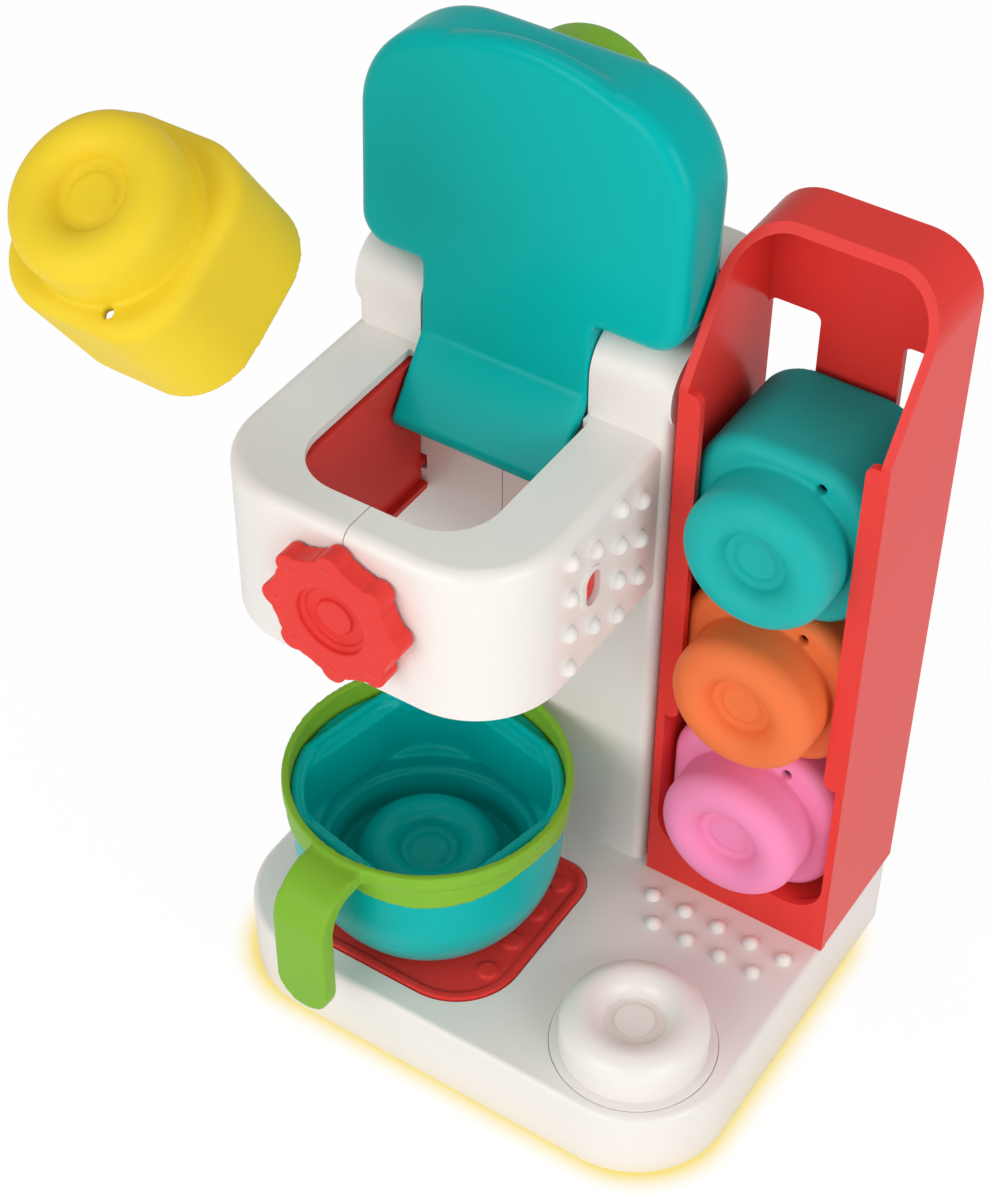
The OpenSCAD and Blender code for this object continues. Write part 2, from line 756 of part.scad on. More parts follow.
// The same with its top looking backwards, from y up to y + h
module face_back(y) {
    translate([0, y, 0]) mirror([0, 1, 0]) rotate([90, 0, 0]) children();
}

// The lid's parts are drawn upright and leant back about the hinge axis
module leant() {
    translate([0, hinge_y, hinge_z]) rotate([-lid_lean, 0, 0]) translate([0, -hinge_y, -hinge_z]) children();
}

// The lid's form, drawn inwards by `in`: rounded all round the back, with a smaller rounding
// round the front, and cut off straight above the knuckles
module lid_form(in = 0) {
    intersection() {
        face_back(lid_y0 + in)
            soft_slab(lid_x0 + in, lid_x0 + lid_w - in, lid_z0 - lid_ext, lid_z1 - in, lid_t - 2 * in,
                      14 - in, lid_r - in, lid_edge - in);
        face_front(lid_y1 + 1)
            soft_slab(lid_x0 + in, lid_x0 + lid_w - in, lid_z0 + in, lid_z1 - in, lid_t + 1 - in,
                      8 - in, lid_r - in, 4 - in);
    }
}

// The opening in the lid's back, and its cover with `in` as the gap
module lid_back(in) {
    plan(lid_x0 + 11 + in, lid_x0 + lid_w - 11 - in, lid_z0 + 5 + in, lid_z1 - 11 - in, 5 - in, lid_r - 11 - in);
}

// The tongue's side view, in Y and Z about the hinge axis
module tongue_profile() {
    t = 3.2;
    face = -lid_face;
    difference() {
        union() {
            circle(lid_face);
            translate([face, -7]) square([t + 4, 24]);
            polygon([[face, -6], [face, 4], [face + t, 4], [face + t, -8], [-19.3, -27.1], [-22.5, -26.6],
                     [-22.8, -24.1]]);
            translate([-20.9, -25.4]) circle(1.7);
        }
        circle(pin_r + fit);
    }
}

module lid_body() {
    color(teal) leant() {
        difference() {
            lid_form();
            lid_form(lid_wall);
            face_back(lid_y1 - lid_wall - 1) linear_extrude(lid_wall + 5) lid_back(0);
        }
        lid_bosses();
        lid_tab();
        translate([seam_x - tongue_w / 2, hinge_y, hinge_z]) rotate([90, 0, 90])
            linear_extrude(tongue_w) tongue_profile();
    }
}

// The grip tab on the free edge, flush with the lid's front face
module lid_tab() {
    r = 54;
    t = 6.2;
    e = 2.4;
    intersection() {
        translate([lid_cx + 0.3, lid_y0 - 0.05, lid_z1 + 3.8 - r]) rotate([-90, 0, 0]) rotate_extrude() {
            square([r - e, t]);
            translate([0, e]) square([r, t - 2 * e]);
            for (y = [e, t - e]) translate([r - e, y]) circle(e);
        }
        translate([lid_cx - 40, lid_y0 - 1, lid_z1 - 5.5]) cube([80, 10, 20]);
    }
}

lid_points = [for (x = [-25, 25]) for (z = [16, 43]) [lid_cx + x, lid_z0 + z]];

module lid_bosses() {
    for (p = lid_points)
        translate([p.x, lid_y0 + lid_wall - eps, p.y]) rotate([-90, 0, 0]) boss(lid_t - 2 * lid_wall);
}

module lid_cover() {
    color(teal) leant() difference() {
        face_back(lid_y1 - lid_wall) linear_extrude(lid_wall) lid_back(0.15);
        for (p = lid_points) rod_y([p.x, lid_y0, p.y], 40, screw_r + 0.2);
        for (a = [0:120:240]) rod_y([lid_cx + 9 * cos(a), lid_y0, stud_on_lid + 9 * sin(a)], 40, 2.05);
    }
}

stud_on_lid = lid_z0 + 36.4;

// Green ring stud on the outside of the lid
module lid_stud() {
    color(green) leant() translate([lid_cx, lid_y1, stud_on_lid]) rotate([-90, 0, 0]) {
        difference() {
            stud(stud_h);
            translate([0, 0, -1]) cylinder(r = stud_r - ring_r, h = stud_h - ring_r - 0.6);
        }
        for (a = [0:120:240]) rotate(a) translate([9, 0, -4.4]) cylinder(r = 2, h = stud_h - 2.2);
    }
}

module lid_screws() {
    color(steel) leant() for (p = lid_points)
        translate([p.x, lid_y1, p.y]) rotate([90, 0, 0]) screw(12);
}

module hinge_pin() {
    color(steel) rod_x([seam_x - notch_w / 2 - 6.8, hinge_y, hinge_z], notch_w + 13.6, pin_r);
}

// ---------------------------------------------------------------- dispenser

module mag_outline(in = 0) {
    plan(mag_x0 + in, mag_x1 - in, deck_z, mag_top - in, 0.8, mag_r - in);
}

// A front flange strip with round ends
module flange(x) {
    face_front(mag_y0 + flange_t) linear_extrude(flange_t)
        plan(x, x + flange_w, flange_z0, flange_z1, 2.4, 2.4);
}

// What the slanted front of the arch takes away, seen from the side
module arch_cut() {
    translate([mag_x0 - 5, 0, 0]) rotate([90, 0, 90]) linear_extrude(mag_w + 10)
        polygon([[mag_y0 - 10, flange_z1], [mag_y0, flange_z1 + 1], [slope_y1, mag_top],
                 [slope_y1, mag_top + 10], [mag_y0 - 10, mag_top + 10]]);
}

// Back windows: from each side wall to the middle rib, with one rounded upper corner
module back_windows() {
    inner = mag_w / 2 - mag_wall;
    for (s = [-1, 1]) {
        x0 = s < 0 ? mag_x - inner : mag_x + rib_w / 2;
        face_front(mag_y1 + 3) linear_extrude(mag_wall + 6)
            plan(x0, x0 + inner - rib_w / 2, window_low, window_top, 2.2, 2.2);
    }
}

module magazine() {
    color(red) {
        difference() {
            union() {
                difference() {
                    face_front(mag_y1) linear_extrude(mag_d) mag_outline();
                    face_front(mag_y1 - mag_wall) linear_extrude(mag_d + 5) mag_well();
                }
                for (x = [mag_x0, mag_x1 - flange_w]) flange(x);
                face_front(mag_y0 + mag_wall) linear_extrude(mag_wall) front_panel();
            }
            arch_cut();
            back_windows();
            translate([mag_x0 + mag_wall, mag_y0 + mag_wall, deck_z - 1])
                cube([mag_w - 2 * mag_wall, mag_d - 2 * mag_wall, floor_up - mag_wall + 1]);
        }
        for (p = magazine_bosses) translate([p.x, p.y, deck_z]) boss(floor_up - 1);
        // two low rails on the back wall, behind the blocks
        for (x = [-1, 1]) translate([mag_x + x * 7 - 1, mag_y1 - mag_wall - rail_t, mag_floor - 1])
            cube([2, rail_t + 1, 3 * pitch - 12]);
    }
}

// The bay that the blocks stand in, above the floor
module mag_well() {
    plan(mag_x0 + mag_wall, mag_x1 - mag_wall, mag_floor, mag_top - mag_wall, 0.8, mag_r - mag_wall);
}

// Low panel across the front, its cut-out rounded where it meets the side walls
module front_panel() {
    difference() {
        translate([mag_x0, deck_z]) square([mag_w, floor_up + 12]);
        plan(mag_x0 + mag_wall, mag_x1 - mag_wall, mag_floor, mag_floor + 40, 10, 1);
    }
}

module magazine_screws() {
    color(steel) for (p = magazine_bosses)
        translate([p.x, p.y, deck_z - base_wall]) screw(10);
}

// ---------------------------------------------------------------- cup

module at_cup(turn) {
    translate([cup_x, cup_y, cup_z]) rotate(turn) children();
}

// A round bowl whose top is flattened on four sides, with a square well that a block fits
module cup_bowl() {
    body_r = rim_r - cup_wall - 0.15;
    ball_z = 23.8;
    top = cup_h - 5;
    color(teal) at_cup(well_turn) {
        difference() {
            union() {
                rotate_extrude() {
                    intersection() {
                        translate([0, ball_z]) circle(body_r);
                        // the foot's edge is bevelled, clear of the tray's lip
                        polygon([[0, 0], [23.9, 0], [40.9, 10], [40.9, ball_z], [0, ball_z]]);
                    }
                    translate([0, ball_z]) square([body_r, cup_h - 11 - ball_z]);
                }
                translate([0, 0, ball_z + 2]) intersection() {
                    cylinder(r = body_r, h = top - ball_z - 2);
                    linear_extrude(top - ball_z - 2) square_plan(62.4, 5);
                }
            }
            translate([0, 0, cup_floor]) cylinder(r1 = foot_r - 2.4, r2 = foot_r - 0.6, h = 8.4);
            translate([0, 0, cup_floor + 8.3]) cylinder(r = foot_r + 1, h = 5.1);
            translate([0, 0, cup_floor + 13.3]) linear_extrude(60) square_plan(well_w, well_r);
            translate([0, 0, cup_h - 8]) intersection() {
                cylinder(r = body_r - 2, h = 60);
                linear_extrude(60) square_plan(58.6, 5);
            }
            // shallow hollow under the foot
            translate([0, 0, -1]) cylinder(r = foot_r - 7, h = cup_floor - 1);
        }
        translate([0, 0, cup_floor - 0.1]) stud(stud_h + 0.4);
    }
}

// The coloured rim: a bead, and a skirt whose lower edge hangs down in four round lobes
module cup_band() {
    color(green) at_cup(0) {
        difference() {
            union() {
                translate([0, 0, cup_h - 4.2]) cylinder(r = rim_r, h = 4.2);
                translate([0, 0, cup_h - band_h + 3.4]) cylinder(r = rim_r - 0.7, h = band_h - 3.4);
                intersection() {
                    translate([0, 0, cup_h - band_h - 1]) cylinder(r = rim_r - 0.7, h = band_h - 2);
                    for (a = [35:90:305]) rotate(a)
                        translate([0, 0, cup_h - band_h + 73]) rotate([0, 90, 0]) cylinder(r = 73, h = rim_r + 5);
                }
            }
            translate([0, 0, cup_h - band_h - 1]) cylinder(r = rim_r - cup_wall, h = band_h + 2);
        }
        rotate(grip_turn - 180) grip();
    }
}

// The handle strap: out from the band, round a bend and down to a rounded tip
module grip() {
    t = 4.6;
    bend = 13;
    top = cup_h - 0.8;
    intersection() {
        translate([0, grip_w / 2, 0]) rotate([90, 0, 0]) linear_extrude(grip_w) {
            translate([bend - grip_out, top - bend]) difference() {
                circle(bend);
                circle(bend - t);
                translate([0, -50]) square([50, 100]);
                translate([-50, -50]) square([100, 50]);
            }
            translate([bend - grip_out - eps, top - t]) square([grip_out - bend - rim_r + 1, t]);
            translate([-grip_out, 3]) square([t, top - bend - 3]);
        }
        // rounded tip, seen from the front
        rotate([90, 0, -90]) linear_extrude(grip_out + 5)
            plan(-grip_w / 2, grip_w / 2, 3, cup_h + 5, grip_w / 2 - 0.2, 1);
    }
}

// ---------------------------------------------------------------- soft blocks

// A block stands on its open side, with its stud on top and its vent hole on one side
module block(vent_side) {
    difference() {
        union() {
            soft_slab(-block_w / 2, block_w / 2, -block_w / 2, block_w / 2, block_h, block_r, block_r, block_edge);
            translate([0, 0, block_h - 0.1]) stud(block_stud_h + 0.1);
        }
        inner = block_w / 2 - block_wall;
        translate([0, 0, -1]) linear_extrude(block_h - block_wall + 1)
            plan(-inner, inner, -inner, inner, block_r - block_wall, block_r - block_wall);
        translate([0, 0, block_h - block_wall - 1])
            cylinder(r = stud_r - block_wall, h = block_stud_h - ring_r - 0.8);
        translate([9.1, vent_side * 17.8, block_h - 10]) cylinder(r = vent_r, h = 10.3);
    }
}

// A block in the dispenser, lying with its stud to the front
module stacked(n) {
    translate([mag_x, block_back, stack_z + n * pitch]) rotate([90, 0, 0]) block(1);
}

module block_yellow() {
    color(yellow) translate(loose_at) rotate(loose_turn)
        translate([0, 0, -(block_h + block_stud_h) / 2]) block(-1);
}

module block_teal() {
    color(soft_teal) stacked(2);
}

module block_orange() {
    color(orange) stacked(1);
}

module block_pink() {
    color(pink) stacked(0);
}

// ---------------------------------------------------------------- one node or all

base_deck();
base_plate();
base_screws();
rubber_feet();
drip_tray();
stacking_stud();
housing_left();
housing_right();
housing_screws();
column_screws();
guide_frame();
guide_screws();
jaw_left();
jaw_right();
knob();
knob_shaft();
knob_screw();
lid_body();
lid_cover();
lid_stud();
lid_screws();
hinge_pin();
magazine();
magazine_screws();
cup_bowl();
cup_band();
block_yellow();
block_teal();
block_orange();
block_pink();
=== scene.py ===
# %% [markdown]
# # A toy coffee maker, dressed in Blender
# The toy is already built as exact solids: every moulding, screw and pin is a node of the
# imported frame, in metres, with +Z up. This notebook gives those nodes the look of the real
# toy: rounded moulding edges, glossy and soft plastics, a plain studio and the camera.
#
# The frame is loaded first. Each node sits at the origin with its place in its mesh, so a
# piece that is made from it needs no fitting.

# %% Load the frame
import json
import math

import bmesh
import bpy
from mathutils import Matrix, Vector

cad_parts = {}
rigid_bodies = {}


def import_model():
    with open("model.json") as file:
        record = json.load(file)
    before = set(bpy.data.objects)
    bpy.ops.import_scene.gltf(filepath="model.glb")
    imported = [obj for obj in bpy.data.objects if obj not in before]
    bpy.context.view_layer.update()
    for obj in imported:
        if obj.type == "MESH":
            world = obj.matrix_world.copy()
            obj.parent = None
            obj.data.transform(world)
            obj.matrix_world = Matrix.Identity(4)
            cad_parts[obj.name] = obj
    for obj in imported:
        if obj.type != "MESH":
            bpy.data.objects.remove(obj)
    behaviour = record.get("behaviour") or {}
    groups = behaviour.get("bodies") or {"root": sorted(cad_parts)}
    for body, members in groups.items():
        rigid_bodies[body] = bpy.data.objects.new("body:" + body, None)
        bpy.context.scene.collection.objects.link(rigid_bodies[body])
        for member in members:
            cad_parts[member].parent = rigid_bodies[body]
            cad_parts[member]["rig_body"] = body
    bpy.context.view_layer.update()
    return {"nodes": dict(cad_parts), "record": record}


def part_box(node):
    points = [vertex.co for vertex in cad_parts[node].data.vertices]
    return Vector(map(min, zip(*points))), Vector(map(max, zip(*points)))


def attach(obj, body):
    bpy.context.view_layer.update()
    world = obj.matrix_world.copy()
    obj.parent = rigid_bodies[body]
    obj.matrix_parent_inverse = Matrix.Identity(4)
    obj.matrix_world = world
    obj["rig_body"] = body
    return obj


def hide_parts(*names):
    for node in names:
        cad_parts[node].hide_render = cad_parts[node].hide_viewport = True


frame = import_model()
nodes = frame["nodes"]

# %% [markdown]
# ## Camera
# The toy was photographed from its front right, well above it, with a long lens. The camera
# is given by its place and by the three directions of its picture, which were solved from
# the straight edges of the base, the column and the dispenser.

# %% Camera
CAMERA_AT = Vector((0.221443, -0.370281, 0.532548))
PICTURE_RIGHT = Vector((0.83619, 0.54843, 0.00373))
PICTURE_UP = Vector((-0.38049, 0.57521, 0.72413))
LENS = 76.43
SENSOR = 36.0
FAR_LIMIT = 20.0


def make_camera():
    back = PICTURE_RIGHT.cross(PICTURE_UP).normalized()
    up = back.cross(PICTURE_RIGHT).normalized()
    data = bpy.data.cameras.new("studio_camera")
    data.lens = LENS
    data.sensor_width = SENSOR
    data.clip_end = FAR_LIMIT
    camera = bpy.data.objects.new("studio_camera", data)
    turn = Matrix((PICTURE_RIGHT.normalized(), up, back)).transposed()
    camera.matrix_world = Matrix.Translation(CAMERA_AT) @ turn.to_4x4()
    bpy.context.scene.collection.objects.link(camera)
    bpy.context.scene.camera = camera
    return camera


camera = make_camera()
print("camera at", tuple(round(v, 3) for v in camera.location))

# %% [markdown]
# ## Shader expressions
# A finish is easier to read as sums than as boxes and wires. The class below wraps a socket
# so that + - * / add Math nodes, and one method adds any other node from its type, its
# settings and the values or links of its inputs.

# %% Shader expressions
class Value:
    """A socket of a node tree that can be used in Python expressions."""

    def __init__(self, tree, socket):
        self.tree = tree
        self.socket = socket

    def math(self, operation, *terms, clamp=False):
        node = self.tree.nodes.new("ShaderNodeMath")
        node.operation = operation
        node.use_clamp = clamp
        for slot_in, term in zip(node.inputs, terms):
            put(self.tree, slot_in, term)
        return Value(self.tree, node.outputs[0])

    def __add__(self, other):
        return self.math("ADD", self, other)

    __radd__ = __add__

    def __mul__(self, other):
        return self.math("MULTIPLY", self, other)

    __rmul__ = __mul__

    def __sub__(self, other):
        return self.math("SUBTRACT", self, other)

    def __rsub__(self, other):
        return self.math("SUBTRACT", other, self)

    def __truediv__(self, other):
        return self.math("DIVIDE", self, other)

    def clamped(self):
        return self.math("ADD", self, 0.0, clamp=True)


def put(tree, socket, term):
    """Links a Value to a socket, or sets the socket to a plain number or colour."""
    if isinstance(term, Value):
        tree.links.new(term.socket, socket)
    else:
        socket.default_value = term


class Finish:
    """A material with its nodes, started from nothing."""

    def __init__(self, name):
        self.material = bpy.data.materials.new(name)
        self.material.use_nodes = True
        self.tree = self.material.node_tree
        self.tree.nodes.clear()
        self.place = self.add("ShaderNodeTexCoord")["Object"]

    def add(self, kind, settings=None, **values):
        """Adds a node; names in values have _ for the spaces of its sockets' names."""
        node = self.tree.nodes.new(kind)
        for key, setting in (settings or {}).items():
            setattr(node, key, setting)
        for key, term in values.items():
            put(self.tree, node.inputs[key.replace("_", " ")], term)
        return {out.name: Value(self.tree, out) for out in node.outputs if out.enabled}

    def noise(self, size, detail=2.0, rough=0.5):
        """Noise from 0 to 1 whose lumps are about size metres across."""
        return self.add("ShaderNodeTexNoise", Vector=self.place, Scale=1 / size,
                        Detail=detail, Roughness=rough)["Fac"]

    def cells(self, size):
        """Distance to the nearest of many points that lie about size metres apart."""
        return self.add("ShaderNodeTexVoronoi", {"feature": "F1"}, Vector=self.place,
                        Scale=1 / size)["Distance"]

    def mix(self, share, low, high):
        """The colour low where share is 0, high where it is 1."""
        node = self.tree.nodes.new("ShaderNodeMix")
        node.data_type = "RGBA"
        put(self.tree, node.inputs["Factor"], share)
        put(self.tree, node.inputs[6], low)
        put(self.tree, node.inputs[7], high)
        return Value(self.tree, node.outputs[2])

    def bump(self, height, depth, strength=1.0):
        """A normal from a height of 0 to 1 that stands for depth metres."""
        return self.add("ShaderNodeBump", Height=height, Distance=depth,
                        Strength=strength)["Normal"]

    def surface(self, **values):
        """The shader itself; constants are set on its own sockets."""
        shader = self.add("ShaderNodeBsdfPrincipled", **values)["BSDF"]
        self.add("ShaderNodeOutputMaterial", Surface=shader)
        return self.material


def paint(hex_colour, lighter=1.0):
    """An sRGB colour as the linear colour that a shader takes."""
    def linear(c):
        c = c / 255
        return c / 12.92 if c <= 0.04045 else ((c + 0.055) / 1.055) ** 2.4
    parts = [int(hex_colour[i:i + 2], 16) for i in (1, 3, 5)]
    return tuple(min(linear(p) * lighter, 1.0) for p in parts) + (1.0,)


print("shader helpers ready")

# %% [markdown]
# ## Plastics
# Two kinds of plastic make this toy. The mouldings are hard and glossy: a smooth skin with a
# low, even shine, the faint orange peel of a polished mould, and small patches that are a
# little duller where the tool was less polished. The shine comes from the plastic itself,
# with no clear coat over it. The blocks are soft rubber: matte, with a very fine eroded
# grain, a little paler where the grain catches light, and they let a trace of light in.
#
# Both are built on Object coordinates in metres, so the grain has its real size, and only
# colour, roughness and the normal vary.

# %% Plastics
ORANGE_PEEL = 0.00003
GLOSS_SWING = 0.08
RUBBER_ROUGH = 0.5
RUBBER_SHADE = 0.92
RUBBER_GLEAM = 0.2
RUBBER_SWING = 0.16
RUBBER_PITS = 0.00006


def gloss_plastic(name, colour, rough, gleam, shade=0.93):
    """Hard, polished moulding."""
    f = Finish(name)
    patches = f.noise(size=0.035, detail=3.0)
    flow = f.noise(size=0.009)
    skin = f.noise(size=0.0045)
    share = (patches * 0.7 + flow * 0.3).clamped()
    tint = f.mix(share, paint(colour, shade), paint(colour, 1.03))
    return f.surface(
        Base_Color=tint,
        Roughness=rough + (flow - 0.5) * GLOSS_SWING,
        Normal=f.bump(skin, ORANGE_PEEL, strength=0.4),
        Specular_IOR_Level=gleam,
    )


def soft_rubber(name, colour):
    """Matte, slightly translucent block rubber with an eroded grain."""
    f = Finish(name)
    patches = f.noise(size=0.02, detail=3.0)
    grain = f.noise(size=0.00045, detail=3.0, rough=0.65)
    pits = f.cells(size=0.0009)
    share = (patches * 0.55 + grain * 0.45).clamped()
    tint = f.mix(share, paint(colour, RUBBER_SHADE), paint(colour, 1.05))
    return f.surface(
        Base_Color=tint,
        Roughness=RUBBER_ROUGH + (grain - 0.5) * RUBBER_SWING,
        Normal=f.bump(grain * 0.7 + pits * 0.3, RUBBER_PITS, strength=0.55),
        Specular_IOR_Level=RUBBER_GLEAM,
        Subsurface_Weight=0.08,
        Subsurface_Scale=0.003,
    )


def zinc_steel(name):
    """Zinc-plated screws and the hinge pin: fine turning marks and a cloudy plating."""
    f = Finish(name)
    clouds = f.noise(size=0.002, detail=3.0)
    marks = f.noise(size=0.0003)
    tint = f.mix(clouds, paint("#a4a9ae"), paint("#cfd2d4"))
    return f.surface(Base_Color=tint, Metallic=1.0, Roughness=0.3 + marks * 0.2,
                     Normal=f.bump(marks, depth=0.00002, strength=0.4))


def foot_rubber(name):
    """Grey, grippy rubber of the feet."""
    f = Finish(name)
    grain = f.noise(size=0.0006, detail=3.0, rough=0.6)
    tint = f.mix(grain, paint("#777b80"), paint("#979a9e"))
    return f.surface(Base_Color=tint, Roughness=0.7 + grain * 0.15,
                     Normal=f.bump(grain, depth=0.00008, strength=0.6))


FINISHES = {
    "white_shell": gloss_plastic("glossy_white", "#f1ece7", rough=0.3, gleam=0.45,
                                 shade=0.975),
    "red_plastic": gloss_plastic("glossy_red", "#ea3f39", rough=0.24, gleam=0.13),
    "teal_plastic": gloss_plastic("glossy_teal", "#00b4b1", rough=0.2, gleam=0.1),
    "green_plastic": gloss_plastic("satin_green", "#83ba33", rough=0.34, gleam=0.15),
    "yellow_soft": soft_rubber("soft_yellow", "#f0d12c"),
    "teal_soft": soft_rubber("soft_teal", "#16b2ae"),
    "orange_soft": soft_rubber("soft_orange", "#f27a42"),
    "pink_soft": soft_rubber("soft_pink", "#f890be"),
    "steel": zinc_steel("zinc_steel"),
    "rubber": foot_rubber("foot_rubber"),
}
SLOT_OF = {part["node"]: part["material_slot"] for part in frame["record"]["subparts"]}
for name, node in nodes.items():
    node.data.materials.clear()
    node.data.materials.append(FINISHES[SLOT_OF[name]])
print("finishes:", len(FINISHES))

# %% [markdown]
# ## Copies that stand for nodes
# A node's mesh is loose triangles, and it stays as it is for the simulation. What the eye
# sees may be a copy: its triangles are joined first, it is worked, and it then rides on the
# node's body and stands for the node.

# %% Copies
SAME_POINT = 2e-6


def open_copy(name, ending):
    """A copy of a node's mesh and a bmesh to work it in, with its triangles joined."""
    mesh = nodes[name].data.copy()
    mesh.name = name + ending
    bm = bmesh.new()
    bm.from_mesh(mesh)
    bmesh.ops.remove_doubles(bm, verts=bm.verts, dist=SAME_POINT)
    return mesh, bm


def close_copy(name, mesh, bm):
    """Puts the worked copy into the scene in the place of its node."""
    bm.to_mesh(mesh)
    bm.free()
    piece = bpy.data.objects.new(mesh.name, mesh)
    bpy.context.scene.collection.objects.link(piece)
    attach(piece, nodes[name]["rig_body"])
    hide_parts(name)
    return piece


print("points closer than", SAME_POINT, "m are joined")

# %% [markdown]
# ## Rounded moulding edges
# An exact solid has knife edges, and a moulding never does: its edges catch a thin line of
# light. The hard mouldings with flat faces are therefore copied, slivers are taken out, and
# the sharp edges are bevelled. The widths below are the most that an edge gets. Where the
# triangles beside it are small, the clamp keeps the bevel narrower, because a wider one
# would tear the surface. Normals weighted by the size of the faces then keep flat faces flat.
#
# The column and the head are moulded in two halves. Each half is drawn back a little from
# the plane where they meet, so that the seam shows as a thin line.

# %% Rounded moulding edges
SEAM_X = -0.029
SEAM_GAP = 0.00014
ON_SEAM = 1e-6
SLIVER = 2e-5
SHARP_ANGLE = math.radians(32.0)
EDGE_SEGMENTS = 2
FACE_WEIGHT = 90


def open_seam(bm, name):
    """Draws a housing half back from the seam, so that a thin line shows between the two."""
    side = {"housing_left": -1, "housing_right": 1}.get(name)
    if side:
        rim = [v for v in bm.verts if abs(v.co.x - SEAM_X) < ON_SEAM]
        bmesh.ops.translate(bm, verts=rim, vec=(side * SEAM_GAP, 0, 0))


def softened(name, width):
    """A copy of a node with its sharp edges rounded by up to width metres."""
    mesh, bm = open_copy(name, "_moulded")
    bmesh.ops.dissolve_degenerate(bm, edges=bm.edges, dist=SLIVER)
    open_seam(bm, name)
    for face in bm.faces:
        face.smooth = True
    piece = close_copy(name, mesh, bm)
    edge = piece.modifiers.new("rounded_edges", "BEVEL")
    edge.limit_method = "ANGLE"
    edge.angle_limit = SHARP_ANGLE
    edge.width = width
    edge.segments = EDGE_SEGMENTS
    edge.profile = 0.5
    edge.use_clamp_overlap = True
    flat = piece.modifiers.new("flat_faces_stay_flat", "WEIGHTED_NORMAL")
    flat.mode = "FACE_AREA"
    flat.weight = FACE_WEIGHT
    flat.keep_sharp = False


EDGES = {
    "base_deck": 0.0005, "stacking_stud": 0.0007,
    "housing_left": 0.0004, "housing_right": 0.0004, "magazine": 0.0006,
    "lid_cover": 0.0004, "lid_stud": 0.0006, "jaw_left": 0.0004, "jaw_right": 0.0004,
}
for name, width in EDGES.items():
    softened(name, width)
print("moulded pieces:", len(EDGES))

# %% [markdown]
# ## Soft blends
# The blocks, the cup, the knob, the lid and the tray have no edge at all: every corner,
# inner ones too, runs into the next face in a soft curve. A bevel only rounds outer edges, so
# these pieces are given an even skin of small squares instead, and that skin is relaxed a few
# times. The squares are 0.3 to 0.7 mm, which keeps the rings and the vent holes.
#
# The bowl's four flat sides leave a slit under the round rim, through which the floor would
# show. A collar, spun inside the rim before the skin is made, closes it.

# %% Soft blends
COLLAR = {"inner": 0.0309, "outer": 0.0342, "low": 0.033, "high": 0.0386}
COLLAR_CORNERS = (("inner", "low"), ("outer", "low"), ("outer", "high"), ("inner", "high"))
COLLAR_STEPS = 96
EASE = 0.5


def close_under_rim(bm):
    """A collar inside the cup's rim: the bowl's flat sides would leave a slit below it."""
    low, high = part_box("cup_bowl")
    x, y = (low[0] + high[0]) / 2, (low[1] + high[1]) / 2
    corners = [bm.verts.new((x + COLLAR[r], y, low[2] + COLLAR[z]))
               for r, z in COLLAR_CORNERS]
    edges = [bm.edges.new((a, b)) for a, b in zip(corners, corners[1:] + corners[:1])]
    bmesh.ops.spin(bm, geom=corners + edges, cent=(x, y, 0), axis=(0, 0, 1),
                   angle=math.tau, steps=COLLAR_STEPS, use_merge=True)
    bmesh.ops.recalc_face_normals(bm, faces=bm.faces)


def relaxed(name, grid, passes):
    """A copy of a node with one even skin, whose corners are softened inside and out."""
    mesh, bm = open_copy(name, "_soft")
    if name == "cup_bowl":
        close_under_rim(bm)
    piece = close_copy(name, mesh, bm)
    skin = piece.modifiers.new("even_skin", "REMESH")
    skin.mode = "VOXEL"
    skin.voxel_size = grid
    skin.use_smooth_shade = True
    ease = piece.modifiers.new("soft_corners", "SMOOTH")
    ease.factor = EASE
    ease.iterations = passes


SOFT = {"block_yellow": (0.0005, 3), "block_teal": (0.0005, 3), "block_orange": (0.0005, 3),
        "block_pink": (0.0005, 3), "cup_band": (0.0005, 8), "knob": (0.0003, 6),
        "lid_body": (0.0007, 3), "drip_tray": (0.0004, 3), "cup_bowl": (0.0006, 3)}
for name, (grid, passes) in SOFT.items():
    relaxed(name, grid, passes)
print("soft pieces:", len(SOFT))

# %% [markdown]
# ## Studio
# The photograph has a white ground with no horizon. The floor is a plain pale sheet that
# keeps the toy's soft shadow, and to the camera it also shows as white by itself. A thin
# warm glow is painted into the floor's colour round the foot of the toy's base: painted
# light, not a lamp. It depends on the distance from the base's outline, worked out as for a
# rectangle with rounded corners.

# %% Floor
BASE_HALF = (0.0688, 0.057)
BASE_CORNER = 0.024
# The warm glow round the base is painted light: a colour mixed into the floor near its
# outline.
PAINTED_GLOW_REACH = 0.0075
PAINTED_GLOW_COLOUR = "#f7dd5c"
PAINTED_GLOW_SHARE = 0.85
FLOOR_HALF = 3.0
FLOOR_WHITE = 1.03
FLOOR_BY_ITSELF = 0.88


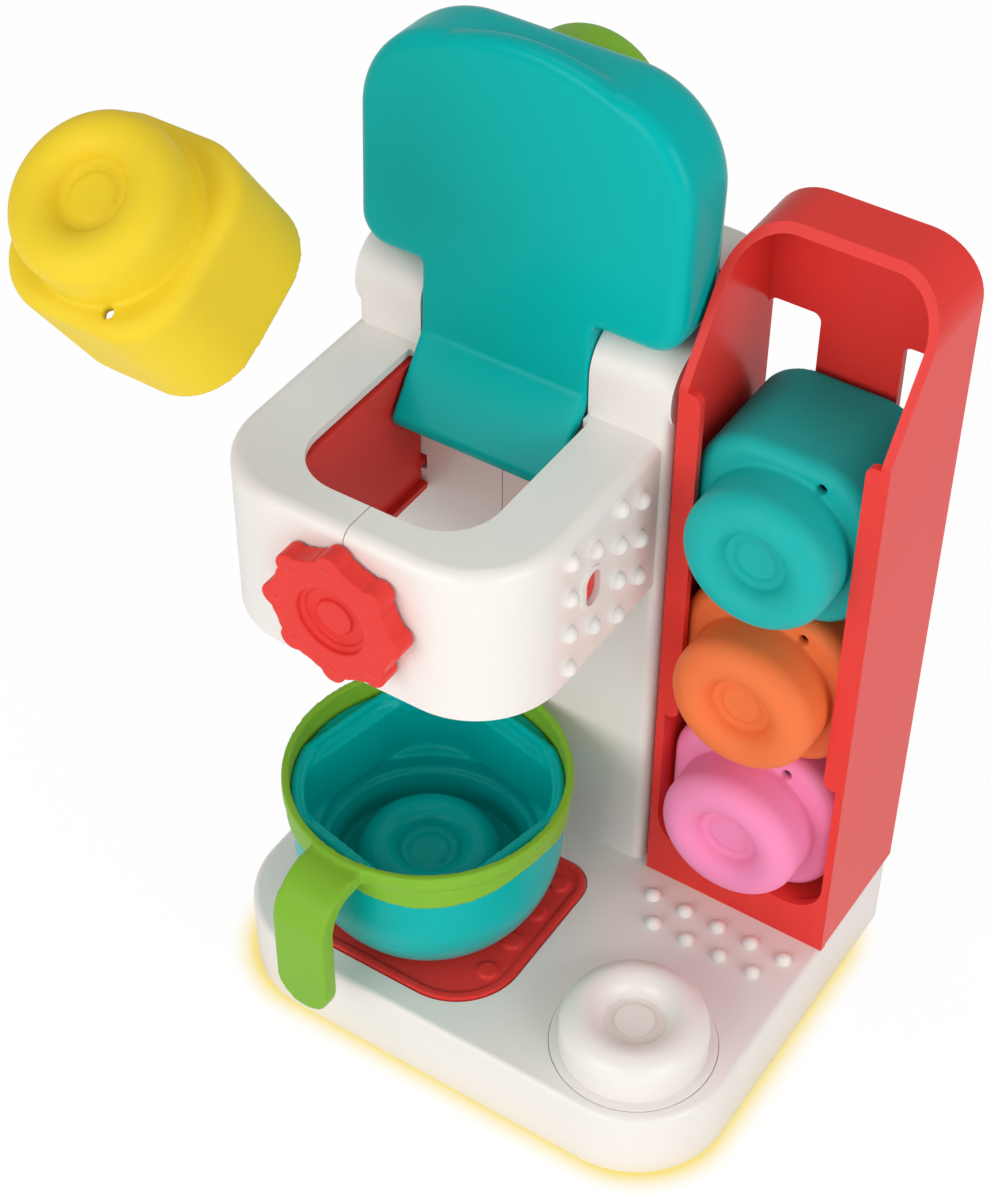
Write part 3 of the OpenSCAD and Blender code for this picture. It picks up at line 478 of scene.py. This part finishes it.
def floor_finish():
    """Plain paper that shows white by itself to the camera, with a warm glow painted round
    the base.
    """
    f = Finish("studio_floor")
    x, y, _ = f.add("ShaderNodeSeparateXYZ", Vector=f.place).values()
    over = [(axis.math("ABSOLUTE", axis) - (half - BASE_CORNER)).math("MAXIMUM",
            axis.math("ABSOLUTE", axis) - (half - BASE_CORNER), 0.0)
            for axis, half in zip((x, y), BASE_HALF)]
    squared = over[0] * over[0] + over[1] * over[1]
    away = squared.math("SQRT", squared) - BASE_CORNER
    # Painted glow: warm light painted into the floor's colour, strongest at the base's
    # outline.
    painted_glow = (1.0 - away / PAINTED_GLOW_REACH).clamped()
    painted_glow = (painted_glow * painted_glow * PAINTED_GLOW_SHARE).clamped()
    tint = f.mix(painted_glow, (1.0, 1.0, 1.0, 1.0), paint(PAINTED_GLOW_COLOUR))
    paper = f.add("ShaderNodeBsdfDiffuse", Color=tint)["BSDF"]
    lit = f.add("ShaderNodeEmission", Color=tint, Strength=FLOOR_WHITE)["Emission"]
    path = f.add("ShaderNodeLightPath")
    seen = path["Is Camera Ray"] * FLOOR_BY_ITSELF
    both = f.add("ShaderNodeMixShader", Fac=seen)
    mixer = f.tree.nodes[-1]
    f.tree.links.new(paper.socket, mixer.inputs[1])
    f.tree.links.new(lit.socket, mixer.inputs[2])
    f.add("ShaderNodeOutputMaterial", Surface=both["Shader"])
    return f.material


def make_floor():
    bm = bmesh.new()
    bmesh.ops.create_grid(bm, x_segments=1, y_segments=1, size=FLOOR_HALF)
    mesh = bpy.data.meshes.new("studio_floor")
    bm.to_mesh(mesh)
    bm.free()
    floor = bpy.data.objects.new("studio_floor", mesh)
    bpy.context.scene.collection.objects.link(floor)
    mesh.materials.append(floor_finish())


make_floor()
print("floor half-width:", FLOOR_HALF)

# %% [markdown]
# ## Light
# The mouldings facing the camera are the brightest and the top faces a little greyer, so the
# main softbox stands low and in front. A weaker one on the right lights the dispenser's side,
# one above gives the top edges their shine, and an even world fills the rest.

# %% Light
AIM = (-0.01, 0.0, 0.11)
WORLD_COLOUR = (1.0, 0.995, 0.985, 1.0)
WORLD_STRENGTH = 0.48


def softbox(name, at, size, power):
    """A rectangular lamp at a place, turned towards the middle of the toy."""
    data = bpy.data.lights.new(name, "AREA")
    data.shape = "RECTANGLE"
    data.size, data.size_y = size
    data.energy = power
    lamp = bpy.data.objects.new(name, data)
    lamp.location = at
    lamp.rotation_euler = (Vector(AIM) - Vector(at)).to_track_quat("-Z", "Y").to_euler()
    bpy.context.scene.collection.objects.link(lamp)


softbox("front_softbox", at=(-0.25, -1.3, 0.6), size=(1.0, 0.9), power=7.7)
softbox("side_softbox", at=(1.2, -0.35, 0.6), size=(0.8, 0.9), power=6.0)
softbox("top_softbox", at=(-0.15, 0.1, 1.4), size=(0.7, 0.5), power=1.6)

world = bpy.data.worlds.new("studio_world")
bpy.context.scene.world = world
world.use_nodes = True
background = world.node_tree.nodes["Background"]
background.inputs["Color"].default_value = WORLD_COLOUR
background.inputs["Strength"].default_value = WORLD_STRENGTH
bpy.context.scene.view_settings.view_transform = "Standard"
